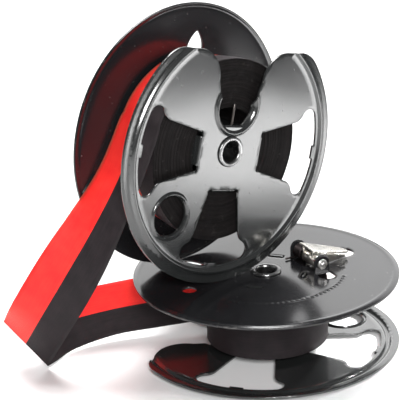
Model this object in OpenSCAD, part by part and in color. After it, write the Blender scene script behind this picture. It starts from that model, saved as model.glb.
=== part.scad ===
// Two typewriter ribbon spools joined by one two-colour ribbon.
// The lower spool lies flat; the upper one stands on its two rims on top of it.
// Spool frame: Z is the spool's axis from the openwork flange to the solid one,
// and +X points along the notch of the openwork flange.

/* [Spool] */
// Diameter of both flanges
flange_d = 54; // [50:0.5:58]
// Height over both flanges
spool_h = 16; // [15:0.1:18]
// Thickness of the sheet metal
sheet = 0.5; // [0.4:0.05:0.6]
// Diameter of the spindle bore
bore_d = 4.2; // [3.6:0.1:4.6]
// Distance from the axis to the outer face of a hub tab
hub_reach = 8.3; // [8:0.1:8.6]
// Width of a hub tab
tab_w = 5.8; // [5:0.1:6]

/* [Ribbon] */
// Width of the ribbon
ribbon_w = 12.7; // [12:0.1:13]
// Diameter of the ribbon wound on the upper spool
upper_pack_d = 36.8; // [30:0.2:37.6]
// Diameter of the ribbon wound on the lower spool
lower_pack_d = 24.8; // [22:0.2:25.4]

/* [Arrangement] */
// Direction of the lower spool's notch
lower_turn = 162; // [150:1:170]
// Turn of the upper spool about the vertical
upper_yaw = 40; // [38:0.5:42]
// Roll of the upper spool about its own axis
upper_roll = 75; // [0:1:359]
// Upper spool's place, across
upper_x = -6.3; // [-7:0.1:-6]
// Upper spool's place, front to back
upper_y = -3.3; // [-4:0.1:-3]

/* [Lever] */
// Distance from the spool's axis to the lever's pin
pin_reach = 9.4; // [9:0.1:9.8]
// Diameter of the lever's pin
pin_d = 1.1; // [1:0.05:1.2]
// Height of the pin above the flange
pin_rise = 1.7; // [1.6:0.05:1.9]
// Length of the lever's arm from its pin
arm_len = 9.2; // [8.8:0.1:9.4]

/* [Hidden] */
$fn = 96;

flange_r = flange_d / 2;
bore_r = bore_d / 2;
over = 1;                       // how far a cutter runs past a face
bead_h = 0.45;                  // the rim bead's height on the openwork flange
open_z = bead_h;                // outer face of the openwork flange
open_in_z = open_z + sheet;     // its inner face
solid_z = spool_h;              // outer face of the solid flange
solid_in_z = solid_z - sheet;
ribbon_z = (open_in_z + solid_in_z) / 2;
rest_gap = 0.1;                 // air under the upper spool's rims
ENAMEL = [0.13, 0.13, 0.14];
STEEL = [0.72, 0.72, 0.70];
NICKEL = [0.80, 0.79, 0.76];
SPRING = [0.20, 0.19, 0.19];
INK = [0.12, 0.10, 0.11];
RED = [0.86, 0.12, 0.10];

// Openwork flange
bead_r = 24.6;
bead_half = 0.75;
band_drop = 0.2;                // the rim outside the bead leans inward this much
window_out_r = 23.3;
window_corner_r = 1.8;
window_corner = [20.3, 7.1];
window_root = 3.9;              // half-width of a window at the hub
window_side = 14.3;             // lean of a window's side
window_fillet = 2.6;
nib_w = 2.8;
nib_h = 0.6;
relief_r = 0.6;
notch_c = 8.9;                  // centre of the notch's round end
notch_r = 4.2;
notch_bead_r = 5.3;
notch_bead_wire = 0.65;
bead_from = 52;                 // where the bead ends, either side of the notch's mouth
notch_reach = 5.3;              // outer face of the set-back tab in the notch
lobe_a = [14.2, 11.8];          // the two rounds that end each lobe beside the notch
lobe_round = 6;
lobe_join = 47;
big_hole_dir = -135;
big_hole_reach = 18.3;
ring_hole_r = 4;
ring_wire = 0.42;

// Solid flange
slot_l = 3.3;
slot_w = 1.2;
tongue_w = 2.9;
drive_hole_r = 1.45;
drive_hole_reach = 17.5;
drive_hole_dir = 45;
lever_hole_r = 2.2;
leaf_root = 12.5;
leaf_tip = 21.3;
leaf_half = 2.1;
dimple_r = 0.42;
dimple_show = 0.14;
dimple_reach = 16;
dimple_pitch = 3.9;
dimple_first = 82;
dimple_count = 27;

// Lever, in a frame whose X runs out from the spool's axis and whose Y is the pin's
ear_front = -6.25;              // middle of each ear along the pin
ear_back = 3.25;
ear_w = 3.4;
ear_h = 3.7;
ear_t = 0.5;
pin_clear = 0.05;               // running fit, radial
pin_z = solid_z + pin_rise;
lance_l = 3.6;
toe_y = -1;                     // where the lever's toe goes through the flange
arm_slope = 17;
arm_t = 0.45;
barrel_r = 1.3;
coil_in_r = 0.9;
coil_out_r = 1.6;

// Eyelet
eyelet_wall = 0.45;
eyelet_out_r = bore_r + eyelet_wall;
flare_r = 3.1;
flare_h = bead_h;

// Free ribbon: the middle of its width and the direction across it, from the
// openwork side's edge to the solid side's, at each hand-placed station
span_t = 0.3;
span_clear = 0.3;
leave_dir = 150;                // where the ribbon leaves the upper pack
reach_dir = 110;                // where it reaches the lower pack
incoming = [
    [[-28, -10.5, 42], [-8, 10, 1]],
    [[-33.5, -13.5, 32.5], [-9, 8, 3.5]],
    [[-39.5, -15, 23], [-10.5, 4, 6]],
    [[-45, -13, 13.5], [-10.5, 1, 7]],
    [[-49, -7, 5], [-8.5, 2.5, 9]]];
outgoing = [
    [[-42, -1, 6.5], [-3.5, 0.5, 12]],
    [[-32.5, 2.5, 7.5], [-1, -2, 12.5]],
    [[-23, 5, 8], [-0.5, -1.5, 12.5]],
    [[-13.5, 8, 8.2], [0, -0.5, 12.5]]];

// ---- Placing ----

module on_lower() rotate([0, 0, lower_turn]) children();

module on_upper()
    translate([upper_x, upper_y, solid_z + flange_r + rest_gap])
        rotate([0, 0, upper_yaw]) rotate([-90, 0, 0]) rotate([0, 0, -upper_roll]) children();

module on_lever() rotate([0, 0, big_hole_dir]) children();

// A rod along Y from y0 to y1, at distance x from the axis and height z
module rod_y(r, y0, y1, x, z) translate([x, y1, z]) rotate([90, 0, 0]) cylinder(r = r, h = y1 - y0);

function arc(c, r, from, to, steps) =
    [for (i = [0:steps]) c + r * [cos(from + (to - from) * i / steps), sin(from + (to - from) * i / steps)]];
function flip(points) = [for (i = [len(points) - 1:-1:0]) [points[i].x, -points[i].y]];
function both(half) = concat(half, flip(half));

// ---- Openwork flange ----

// Fillet between a window's straight side and its rounded outer corner
side_dir = [cos(window_side), sin(window_side)];
side_out = [-sin(window_side), cos(window_side)];
side_start = [hub_reach, window_root];
from_corner = side_start + window_fillet * side_out - window_corner;
half_b = from_corner * side_dir;
reach2 = pow(window_fillet + window_corner_r, 2);
side_run = -half_b - sqrt(half_b * half_b - from_corner * from_corner + reach2);
fillet_c = side_start + side_run * side_dir + window_fillet * side_out;
fillet_to = window_corner - fillet_c;
fillet_end = atan2(fillet_to.y, fillet_to.x);
corner_dir = atan2(window_corner.y, window_corner.x);

module window_2d() difference() {
    union() {
        polygon(both(concat([side_start],
            arc(fillet_c, window_fillet, window_side - 90, fillet_end, 8),
            arc(window_corner, window_corner_r, fillet_end + 180, corner_dir, 14),
            arc([0, 0], window_out_r, corner_dir, 1, 8))));
        for (side = [-1, 1])
            translate([hub_reach - relief_r / 2, side * (window_root - relief_r)]) circle(r = relief_r, $fn = 32);
    }
    translate([window_out_r - nib_h, -nib_w / 2]) square([over, nib_w]);
}

lobe_b = (flange_r - lobe_round) * [cos(lobe_join), sin(lobe_join)];
lobe_lean = atan2(lobe_b.x - lobe_a.x, lobe_b.y - lobe_a.y);
notch_far = 40;

module notch_2d() polygon(both(concat(
    arc([notch_c, 0], notch_r, 180, 84, 16),
    arc(lobe_a, lobe_round, -90, -lobe_lean, 16),
    arc(lobe_b, lobe_round, -lobe_lean, lobe_join, 10),
    [[notch_far * cos(lobe_join), notch_far * sin(lobe_join)], [notch_far, 0]])));

module open_profile() polygon([
    [0, open_z],
    [bead_r - bead_half, open_z],
    [bead_r - 0.35, 0.08],
    [bead_r - 0.15, 0],
    [bead_r + 0.15, 0],
    [bead_r + 0.35, 0.08],
    [bead_r + bead_half, open_z],
    [flange_r - 0.15, open_z + band_drop],
    [flange_r, open_z + band_drop + 0.15],
    [flange_r, open_in_z + band_drop - 0.15],
    [flange_r - 0.15, open_in_z + band_drop],
    [bead_r + bead_half, open_in_z],
    [bead_r + 0.2, open_in_z - 0.4],
    [bead_r - 0.2, open_in_z - 0.4],
    [bead_r - bead_half, open_in_z],
    [0, open_in_z]]);

module hub_tab(out) {
    translate([out - sheet, -tab_w / 2, open_z]) cube([sheet, tab_w, solid_in_z - open_z]);
    translate([out - sheet, -tongue_w / 2, solid_in_z - over]) cube([sheet, tongue_w, sheet + over + 0.1]);
}

module notch_bead() translate([notch_c, 0, open_z + sheet / 2])
    rotate([0, 0, bead_from]) rotate_extrude(angle = 360 - 2 * bead_from)
        translate([notch_bead_r, 0]) circle(r = notch_bead_wire, $fn = 32);

module open_flange() color(ENAMEL) difference() {
    union() {
        difference() {
            rotate_extrude() open_profile();
            for (turn = [90:90:270]) rotate([0, 0, turn]) translate([0, 0, -over])
                linear_extrude(open_in_z + 2 * over) window_2d();
            translate([0, 0, -over]) linear_extrude(open_in_z + 2 * over) notch_2d();
        }
        hub_tab(notch_reach);
        for (turn = [90:90:270]) rotate([0, 0, turn]) hub_tab(hub_reach);
        notch_bead();
        rotate([0, 0, big_hole_dir]) translate([big_hole_reach, 0, open_z + sheet / 2])
            rotate_extrude() translate([ring_hole_r + ring_wire, 0]) circle(r = ring_wire, $fn = 32);
    }
    translate([0, 0, -over]) cylinder(r = eyelet_out_r, h = spool_h);
    rotate([0, 0, big_hole_dir]) translate([big_hole_reach, 0, -over]) cylinder(r = ring_hole_r, h = 3 * over);
    translate([notch_reach - over, 0, hook_z]) rotate([0, 90, 0]) cylinder(r = hook_wire, h = 2 * over);
}

// ---- Solid flange ----

module solid_profile() polygon([
    [0, solid_in_z],
    [flange_r - 0.7, solid_in_z],
    [flange_r - 0.45, solid_in_z - 0.15],
    [flange_r - 0.1, solid_in_z - 0.15],
    [flange_r, solid_in_z],
    [flange_r, solid_z - 0.3],
    [flange_r - 0.1, solid_z - 0.12],
    [flange_r - 0.4, solid_z],
    [0, solid_z]]);

module leaf_2d() intersection() {
    // two large rounds that meet in a point
    leaf_round = (pow(leaf_tip - leaf_root, 2) / 4 + leaf_half * leaf_half) / (2 * leaf_half);
    translate([(leaf_root + leaf_tip) / 2, leaf_round - leaf_half]) circle(r = leaf_round);
    translate([(leaf_root + leaf_tip) / 2, leaf_half - leaf_round]) circle(r = leaf_round);
}

module slot(out) translate([out - (sheet + slot_w) / 2, -slot_l / 2, 0])
    cube([slot_w, slot_l, sheet + 2 * over]);

// D shape of an ear and of the opening it was bent up from, lying along -Y from the origin
module ear_2d(length) {
    translate([-ear_w / 2, -(length - ear_w / 2)]) square([ear_w, length - ear_w / 2]);
    translate([0, -(length - ear_w / 2)]) circle(d = ear_w, $fn = 48);
}

module ear(y) difference() {
    translate([pin_reach, y + ear_t / 2, solid_in_z]) rotate([90, 0, 0]) mirror([0, 1, 0])
        linear_extrude(ear_t) ear_2d(ear_h + sheet);
    rod_y(pin_d / 2 + pin_clear, y - over, y + over, pin_reach, pin_z);
}

module lance(y, length) translate([pin_reach, y - ear_t / 2, solid_in_z - over])
    linear_extrude(sheet + 2 * over) ear_2d(length);

module stop_rib() translate([pin_reach + 2.2, -5.1, solid_z - 0.1]) rotate([90, 0, 0])
    linear_extrude(0.45, center = true) polygon([[0, 0], [4.6, 0], [4.6, 0.15], [0, 0.6]]);

module solid_flange() color(ENAMEL) {
    difference() {
        rotate_extrude() solid_profile();
        translate([0, 0, solid_in_z - over]) {
            cylinder(r = eyelet_out_r, h = sheet + 2 * over);
            rotate([0, 0, drive_hole_dir]) translate([drive_hole_reach, 0, 0])
                cylinder(r = drive_hole_r, h = sheet + 2 * over);
            rotate([0, 0, big_hole_dir]) translate([big_hole_reach, 0, 0])
                cylinder(r = lever_hole_r, h = sheet + 2 * over);
            slot(notch_reach);
            for (turn = [90:90:270]) rotate([0, 0, turn]) slot(hub_reach);
            linear_extrude(sheet + 2 * over) leaf_2d();
        }
        on_lever() {
            lance(ear_front, lance_l);
            lance(ear_back, ear_back - toe_y + 1.1);
        }
    }
    on_lever() {
        ear(ear_front);
        ear(ear_back);
        stop_rib();
    }
    for (i = [0:dimple_count - 1]) rotate([0, 0, dimple_first + i * dimple_pitch])
        translate([dimple_reach, 0, solid_z - dimple_show])
            cylinder(r1 = dimple_r + 0.1, r2 = dimple_r - 0.1, h = 2 * dimple_show, $fn = 24);
}

// ---- Eyelet ----

module eyelet() color(STEEL) rotate_extrude() difference() {
    union() {
        translate([bore_r, open_z - flare_h]) square([eyelet_wall, solid_z - open_z + 2 * flare_h]);
        translate([bore_r, open_z - flare_h]) square([flare_r - bore_r - 0.2, flare_h]);
        translate([flare_r - 0.2, open_z - flare_h / 2]) circle(d = flare_h, $fn = 32);
        translate([bore_r, solid_z]) square([flare_r - bore_r - 0.2, flare_h]);
        translate([flare_r - 0.2, solid_z + flare_h / 2]) circle(d = flare_h, $fn = 32);
    }
    square([bore_r, spool_h + 2 * over]);
}

// ---- Ribbon hook: a wire through a hub tab that holds the ribbon's end ----

hook_wire = 0.3;
hook_z = open_in_z + 0.45;
hook_start = notch_reach - sheet - 0.4;
hook_l = 5.2;
hook_in = 1.6;

module ribbon_hook() color(NICKEL) translate([hook_start, 0, hook_z]) {
    rotate([0, 90, 0]) cylinder(r = hook_wire, h = hook_l, $fn = 32);
    translate([-hook_wire, -hook_wire, -hook_wire]) cube([2 * hook_wire, 2 * hook_wire, hook_in]);
}

// ---- Trip lever ----

arm_root_z = pin_z + 1.7;
arm_half_root = 3;
arm_half_tip = 1.3;
arm_mid = -1.6;
cheek_front = -4.4;
cheek_back = -0.9;
cheek_t = 0.4;
toe_t = 0.8;

module arm_2d() {
    polygon([
        [-1.1, arm_mid - arm_half_root],
        [2.4, arm_mid - arm_half_root + 0.3],
        [arm_len - arm_half_tip, arm_mid - arm_half_tip],
        [arm_len - arm_half_tip, arm_mid + arm_half_tip],
        [2.4, arm_mid + arm_half_root - 0.6],
        [-1.1, arm_mid + arm_half_root - 0.3]]);
    translate([arm_len - arm_half_tip, arm_mid]) circle(r = arm_half_tip, $fn = 48);
}

// Side wall of the arm: it hangs from the sloping top plate and holds the barrel
module cheek(y, length) translate([pin_reach, y + cheek_t, pin_z]) rotate([90, 0, 0]) linear_extrude(cheek_t)
    polygon([[-1.1, -0.9], [1.2, -1.2], [length, -0.6], [length, 1.87 - 0.3 * length], [-1.1, 2.2]]);

module trip_lever() color(NICKEL) difference() {
    union() {
        translate([pin_reach, 0, arm_root_z]) rotate([0, arm_slope, 0]) linear_extrude(arm_t) arm_2d();
        rod_y(barrel_r, ear_front + ear_t / 2 + 0.15, toe_y + 0.6, pin_reach, pin_z);
        cheek(cheek_front, 6.8);
        cheek(cheek_back, 4.4);
        translate([pin_reach - toe_t / 2 - 0.05, toe_y, solid_in_z - 0.4]) cube([toe_t, 0.6, pin_z - solid_in_z]);
    }
    rod_y(pin_d / 2 + pin_clear, ear_front - over, ear_back + over, pin_reach, pin_z);
}

// ---- Lever pin ----

head_r = 1.1;
head_t = 0.35;

module lever_pin() color(STEEL) {
    front = ear_front - ear_t / 2;
    back = ear_back + ear_t / 2;
    rod_y(pin_d / 2, front, back, pin_reach, pin_z);
    rod_y(head_r, front - head_t, front, pin_reach, pin_z);
    rod_y(head_r / 2, front - 2 * head_t, front - head_t, pin_reach, pin_z);
    rod_y(head_r, back, back + head_t, pin_reach, pin_z);
}

// ---- Torsion spring ----

spring_wire = 0.22;
coil_from = toe_y + 0.9;
coil_to = ear_back - ear_t / 2 - 0.2;

module lever_spring() color(SPRING) {
    difference() {
        rod_y(coil_out_r, coil_from, coil_to, pin_reach, pin_z);
        rod_y(coil_in_r, coil_from - over, coil_to + over, pin_reach, pin_z);
    }
    translate([pin_reach - 3.4, coil_to - spring_wire, solid_z + spring_wire + 0.02]) rotate([0, 90, 0])
        cylinder(r = spring_wire, h = 3.0, $fn = 24);
}

// ---- Wound ribbon ----

pack_in_r = 9;

module ribbon_pack(d) color(INK) translate([0, 0, ribbon_z - ribbon_w / 2]) difference() {
    cylinder(d = d, h = ribbon_w, $fn = 128);
    translate([0, 0, -over]) cylinder(r = pack_in_r, h = ribbon_w + 2 * over);
}

// ---- Free ribbon ----

upper_at = [upper_x, upper_y, solid_z + flange_r + rest_gap];
axis_u = [-sin(upper_yaw), cos(upper_yaw), 0];
side_u = [cos(upper_yaw), sin(upper_yaw), 0];
leave = upper_at + ribbon_z * axis_u
    + (upper_pack_d / 2 + span_clear) * (cos(leave_dir) * side_u + sin(leave_dir) * [0, 0, 1]);
reach = (lower_pack_d / 2 + span_clear) * [cos(reach_dir), sin(reach_dir), 0] + [0, 0, ribbon_z];
leave_tangent = -sin(leave_dir) * side_u + cos(leave_dir) * [0, 0, 1];
reach_tangent = [sin(reach_dir), -cos(reach_dir), 0];

way_in = concat([[leave, axis_u]], incoming);
way_out = concat([incoming[len(incoming) - 1]], outgoing, [[reach, [0, 0, 1]]]);
steps = 6;

function unit(v) = v / norm(v);
function blend4(a, b, c, d, t) =
    0.5 * (2 * b + (c - a) * t + (2 * a - 5 * b + 4 * c - d) * t * t + (3 * b - a - 3 * c + d) * t * t * t);
// The stations of a way with one more before and after it, each on the line of its end tangent
function padded(way, before, after) = concat([before], way, [after]);
function smooth(way) = [for (i = [1:len(way) - 3]) for (s = [0:steps - 1])
    [for (k = [0, 1]) blend4(way[i - 1][k], way[i][k], way[i + 1][k], way[i + 2][k], s / steps)]];
function past(a, b) = [2 * a[0] - b[0], a[1]];
last_in = len(way_in) - 1;
last_out = len(way_out) - 1;
path_in = smooth(padded(way_in, [leave - 10 * leave_tangent, axis_u], past(way_in[last_in], way_in[last_in - 1])));
path_out = smooth(padded(way_out, past(way_out[0], way_out[1]), [reach + 10 * reach_tangent, [0, 0, 1]]));
path = concat(path_in, path_out, [way_out[last_out]]);

function along(i) = unit(path[min(i + 1, len(path) - 1)][0] - path[max(i - 1, 0)][0]);
function ring(i) = let (
    across = unit(path[i][1]) * ribbon_w / 2,
    thick = unit(cross(along(i), across)) * span_t / 2,
    mid = path[i][0])
    [mid + across + thick, mid + across - thick, mid - across - thick, mid - across + thick];
rings = [for (i = [0:len(path) - 1]) each ring(i)];
sides = [for (i = [0:len(path) - 2]) for (k = [0:3]) for (tri = [
    [4 * i + k, 4 * i + 4 + k, 4 * i + 4 + (k + 1) % 4],
    [4 * i + k, 4 * i + 4 + (k + 1) % 4, 4 * i + (k + 1) % 4]]) tri];
last = 4 * (len(path) - 1);

module ribbon_span() color(RED) polyhedron(rings,
    concat([[0, 1, 2], [0, 2, 3]], sides, [[last + 2, last + 1, last], [last + 3, last + 2, last]]));

on_lower() solid_flange();  // lower_solid_flange
on_lower() open_flange();  // lower_open_flange
on_lower() eyelet();  // lower_eyelet
on_lower() ribbon_hook();  // lower_ribbon_hook
on_lower() on_lever() trip_lever();  // lower_trip_lever
on_lower() on_lever() lever_pin();  // lower_lever_pin
on_lower() on_lever() lever_spring();  // lower_lever_spring
on_lower() ribbon_pack(lower_pack_d);  // lower_ribbon_pack
on_upper() solid_flange();  // upper_solid_flange
on_upper() open_flange();  // upper_open_flange
on_upper() eyelet();  // upper_eyelet
on_upper() ribbon_hook();  // upper_ribbon_hook
on_upper() on_lever() trip_lever();  // upper_trip_lever
on_upper() on_lever() lever_pin();  // upper_lever_pin
on_upper() on_lever() lever_spring();  // upper_lever_spring
on_upper() ribbon_pack(upper_pack_d);  // upper_ribbon_pack
ribbon_span();
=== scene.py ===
"""Looks of the two ribbon spools: pressed flanges, wound ribbon, levers and the free ribbon."""
import math

import bpy
import numpy as np
from mathutils import Matrix, Vector
from mathutils.geometry import delaunay_2d_cdt

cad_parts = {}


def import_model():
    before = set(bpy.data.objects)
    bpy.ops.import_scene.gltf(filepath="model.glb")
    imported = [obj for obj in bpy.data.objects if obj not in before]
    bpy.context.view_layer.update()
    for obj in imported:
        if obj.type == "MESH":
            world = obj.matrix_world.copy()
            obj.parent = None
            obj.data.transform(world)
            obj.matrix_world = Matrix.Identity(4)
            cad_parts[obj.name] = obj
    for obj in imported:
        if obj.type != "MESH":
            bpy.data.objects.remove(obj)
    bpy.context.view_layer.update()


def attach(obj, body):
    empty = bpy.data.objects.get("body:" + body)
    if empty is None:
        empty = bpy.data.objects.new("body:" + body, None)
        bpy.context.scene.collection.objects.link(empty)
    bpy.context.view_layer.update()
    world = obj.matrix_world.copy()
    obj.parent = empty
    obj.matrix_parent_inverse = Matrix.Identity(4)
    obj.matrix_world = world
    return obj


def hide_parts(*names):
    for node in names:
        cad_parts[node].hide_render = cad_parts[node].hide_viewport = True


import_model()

MM = 0.001

# ---- Sizes, in millimetres in the spool's own frame: Z runs from the openwork flange to the solid one ----
# Directions are in degrees.
FLANGE_R = 27.0
SPOOL_H = 16.0
SHEET = 0.5
EDGE_R = 0.12  # rounding of the sheet's cut edges

# The openwork flange lies on a pressed bead. It has a round-bottomed notch and a hole with a raised collar.
BEAD_R = 24.6
BEAD_H = 0.45
BEAD_HALF = 0.8
OPEN_Z = BEAD_H
OPEN_IN_Z = OPEN_Z + SHEET
SOLID_IN_Z = SPOOL_H - SHEET
NOTCH_C = 8.9
NOTCH_R = 4.2
HOLE_REACH = 18.3
COLLAR_R = 4.0

# The hub is four tabs: one under the notch and three on the windows' inner ends.
WINDOW_TURNS = (90, 180, 270)
HUB_REACH = 8.3
NOTCH_REACH = 5.3
TAB_W = 5.8
TONGUE_W = 2.9
BORE_R = 2.1
EYELET_R = 2.55
EYELET_FIT = 0.02

# The ribbon is wound on the hub, midway between the flanges.
RIBBON_W = 12.7
RIBBON_Z = (OPEN_IN_Z + SOLID_IN_Z) / 2
PACK_IN_R = 8.5

# The lever, its pin and its hole lie along LEVER_DIR. EARS are the ears' places along the pin.
LEVER_DIR = -135
PIN_REACH = 9.4
PIN_Z = SPOOL_H + 1.7
EARS = (-6.25, 3.25)
LEVER_HOLE_R = 2.2
DRIVE_REACH = 17.5
DRIVE_DIR = 45
DRIVE_R = 1.45


def turn(axis, degrees):
    return Matrix.Rotation(math.radians(degrees), 4, axis)


# The upper spool stands on its flanges' rims, on top of the lower one.
STAND_GAP = 0.1
UPPER_YAW = 40
UPPER_ROLL = 75
UPPER_AT = Vector((-6.3, -3.3, SPOOL_H + FLANGE_R + STAND_GAP))
PLACES = {
    "lower": turn("Z", 162),
    "upper": Matrix.Translation(UPPER_AT) @ turn("Z", UPPER_YAW) @ turn("X", -90) @ turn("Z", -UPPER_ROLL),
}
PACK_R = {"lower": 12.4, "upper": 18.4}
# Steps across the winding's outside at which the red starts: the ribbon was wound a little askew.
RED_FROM = {"lower": 7, "upper": 4}
PACK_TAPER = {"lower": 0.0, "upper": 1.3}
TO_LEVER = turn("Z", LEVER_DIR)


# ---- Mesh helpers ----

def add_piece(name, verts, faces, place, material, sharp=40, extra=None):
    """A mesh in millimetres, moved by place and scaled to metres."""
    mesh = bpy.data.meshes.new(name)
    co = np.asarray(verts, float)
    m = np.array(place)
    co = (co @ m[:3, :3].T + m[:3, 3]) * MM
    mesh.from_pydata(co.tolist(), [], [list(map(int, f)) for f in faces])
    for key, values in (extra or {}).items():
        values = np.asarray(values, np.float32)
        kind = "FLOAT" if values.ndim == 1 else "FLOAT_VECTOR"
        layer = mesh.attributes.new(key, kind, "POINT")
        layer.data.foreach_set("value" if values.ndim == 1 else "vector", values.ravel())
    mesh.validate()
    mesh.shade_smooth()
    mesh.set_sharp_from_angle(angle=math.radians(sharp))
    for one in material if isinstance(material, (list, tuple)) else [material]:
        mesh.materials.append(one)
    obj = bpy.data.objects.new(name, mesh)
    bpy.context.scene.collection.objects.link(obj)
    return obj


def joined(parts):
    """Several (verts, faces) as one."""
    verts, faces, at = [], [], 0
    for v, f in parts:
        v = np.asarray(v, float)
        verts.append(v)
        faces += [[i + at for i in face] for face in f]
        at += len(v)
    return np.vstack(verts), faces


def moved(part, matrix):
    m = np.array(matrix)
    v = np.asarray(part[0], float)
    return v @ m[:3, :3].T + m[:3, 3], part[1]


def polar(reach, degrees):
    a = math.radians(degrees)
    return reach * np.array([math.cos(a), math.sin(a)])


def circle(c, r, n):
    """A closed loop of n points."""
    return arc(c, r, 0, 360, n)[:-1]


def arc(c, r, start, end, n):
    """Points from start to end degrees round c, in n steps."""
    a = np.radians(np.linspace(start, end, n + 1))
    return np.stack([c[0] + r * np.cos(a), c[1] + r * np.sin(a)], 1)


def mirrored(half):
    """The half outline and its mirror image across the X axis."""
    half = np.asarray(half, float)
    return np.vstack([half, half[::-1] * [1, -1]])


def resample(loop, step, keep=25):
    """The closed loop with points about step apart, its corners sharper than keep degrees kept."""
    loop = np.asarray(loop, float)
    gap = np.linalg.norm(loop - np.roll(loop, 1, 0), axis=1) > 1e-4
    loop = loop[gap]
    d = np.roll(loop, -1, 0) - loop
    a = np.degrees(np.arctan2(d[:, 1], d[:, 0]))
    bend = np.abs((a - np.roll(a, 1) + 180) % 360 - 180)
    corners = np.flatnonzero(bend > keep)
    if len(corners) == 0:
        corners = np.array([0])
    out = []
    for i, c in enumerate(corners):
        last = corners[(i + 1) % len(corners)]
        last = last if last > c else last + len(loop)
        run = loop[np.arange(c, last + 1) % len(loop)]
        s = np.concatenate([[0], np.cumsum(np.linalg.norm(np.diff(run, axis=0), axis=1))])
        n = max(2, int(round(s[-1] / step)))
        t = np.linspace(0, s[-1], n + 1)[:-1]
        out.append(np.stack([np.interp(t, s, run[:, 0]), np.interp(t, s, run[:, 1])], 1))
    return np.vstack(out)


def area_of(loop):
    x, y = loop[:, 0], loop[:, 1]
    return 0.5 * np.sum(x * np.roll(y, -1) - y * np.roll(x, -1))


def inward(loop):
    """Unit normals to the left of each point's way along the loop."""
    d = np.roll(loop, -1, 0) - np.roll(loop, 1, 0)
    n = np.stack([-d[:, 1], d[:, 0]], 1)
    return n / np.linalg.norm(n, axis=1, keepdims=True)


def inside(points, loops):
    """True where a point is inside an odd number of the loops."""
    odd = np.zeros(len(points), bool)
    px, py = points[:, 0][:, None], points[:, 1][:, None]
    for loop in loops:
        x0, y0 = loop[:, 0][None], loop[:, 1][None]
        x1, y1 = np.roll(loop, -1, 0)[:, 0][None], np.roll(loop, -1, 0)[:, 1][None]
        cross = (y0 > py) != (y1 > py)
        dy = np.where(np.abs(y1 - y0) < 1e-12, 1e-12, y1 - y0)
        odd ^= (np.sum(cross & (px < (x1 - x0) * (py - y0) / dy + x0), axis=1) % 2).astype(bool)
    return odd


def nearest(points, loops):
    """Each point's distance to the nearest point of the loops, worked out in batches to save memory."""
    border = np.vstack(loops)
    out = np.empty(len(points))
    batch = 2000
    for i in range(0, len(points), batch):
        d = points[i:i + batch, None] - border[None]
        out[i:i + batch] = np.sqrt((d ** 2).sum(2).min(1))
    return out


def grid_points(x0, x1, nx, y0, y1, ny):
    gx, gy = np.meshgrid(np.linspace(x0, x1, nx), np.linspace(y0, y1, ny))
    return np.stack([gx.ravel(), gy.ravel()], 1)


def flat_at(z):
    """A height for plate that is the same everywhere."""
    return lambda p: np.full(len(p), float(z))


FAR = 9.0  # the depth given to points that are away from every edge
WORN_WIDTH = 0.3  # how far the worn look reaches in from an edge


def plate(outline, holes, height, thick, inner_points, up=1, edge=EDGE_R, step=0.3):
    """A sheet with rounded edges. height(xy) is its outer face, and up is the way that face looks.
    Returns vertices, faces and how near each vertex is to an edge."""
    loops = []
    for k, loop in enumerate([outline] + list(holes)):
        loop = resample(loop, step)
        if (area_of(loop) > 0) != (k == 0):
            loop = loop[::-1]
        loops.append(loop)

    # Points: each loop three times, drawn in step by step for the rounding, then the inside.
    pts, edges, depth, rims = [], [], [], []
    at = 0
    for loop in loops:
        n = inward(loop)
        for d in (0, 0.35 * edge, edge):
            pts.append(loop + n * d)
            depth.append(np.full(len(loop), d))
            edges += [(at + i, at + (i + 1) % len(loop)) for i in range(len(loop))]
            if d == 0:
                rims.append((at, len(loop)))
            at += len(loop)
    grid = np.asarray(inner_points, float)
    grid = grid[inside(grid, loops)]
    grid = grid[nearest(grid, loops) > edge + 0.45 * step]
    pts.append(grid)
    depth.append(np.full(len(grid), FAR))
    pts = np.vstack(pts)
    depth = np.concatenate(depth)

    # Faces: a triangulation that keeps the loops, on both sides, and a wall round each loop.
    found = delaunay_2d_cdt([Vector(p) for p in pts], edges, [], 0, 1e-7)
    xy = np.array([v[:] for v in found[0]])
    source = [o[0] if o else -1 for o in found[3]]
    tris = np.array([f for f in found[2] if len(f) == 3])
    tris = tris[inside(xy[tris].mean(1), loops)]
    d = np.array([depth[s] if s >= 0 else 0 for s in source])
    drop = np.where(d < edge, edge - np.sqrt(np.maximum(edge ** 2 - (edge - d) ** 2, 0)), 0)
    z = height(xy)
    top = np.column_stack([xy, z - up * drop])
    low = np.column_stack([xy, z - up * (thick - drop)])
    n = len(xy)
    one, two = xy[tris[:, 1]] - xy[tris[:, 0]], xy[tris[:, 2]] - xy[tris[:, 0]]
    ccw = one[:, 0] * two[:, 1] - two[:, 0] * one[:, 1] > 0
    tris[~ccw] = tris[~ccw][:, ::-1]
    if up < 0:
        tris = tris[:, ::-1]
    faces = tris.tolist() + (tris[:, ::-1] + n).tolist()
    where = {s: i for i, s in enumerate(source) if s >= 0}
    for start, count in rims:
        ring = [where.get(start + i) for i in range(count)]
        ring = [r for r in ring if r is not None]
        for i, one in enumerate(ring):
            two = ring[(i + 1) % len(ring)]
            faces.append([two, one, one + n, two + n] if up > 0 else [one, two, two + n, one + n])
    near = np.clip(1 - d / WORN_WIDTH, 0, 1)
    used = np.unique(np.concatenate([np.ravel(f) for f in faces]))
    remap = np.full(2 * n, -1)
    remap[used] = np.arange(len(used))
    verts = np.vstack([top, low])[used]
    return verts, [[int(remap[i]) for i in f] for f in faces], np.concatenate([near, near])[used]


def ring_points(radii, spacing):
    """Points on rings round the origin, each ring turned a little against the last."""
    out = []
    stagger = 0.37
    for k, r in enumerate(radii):
        n = max(8, int(2 * math.pi * r / spacing))
        a = np.linspace(0, 2 * math.pi, n, endpoint=False) + k * stagger / max(r, 1)
        out.append(np.stack([r * np.cos(a), r * np.sin(a)], 1))
    return np.vstack(out)


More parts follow.
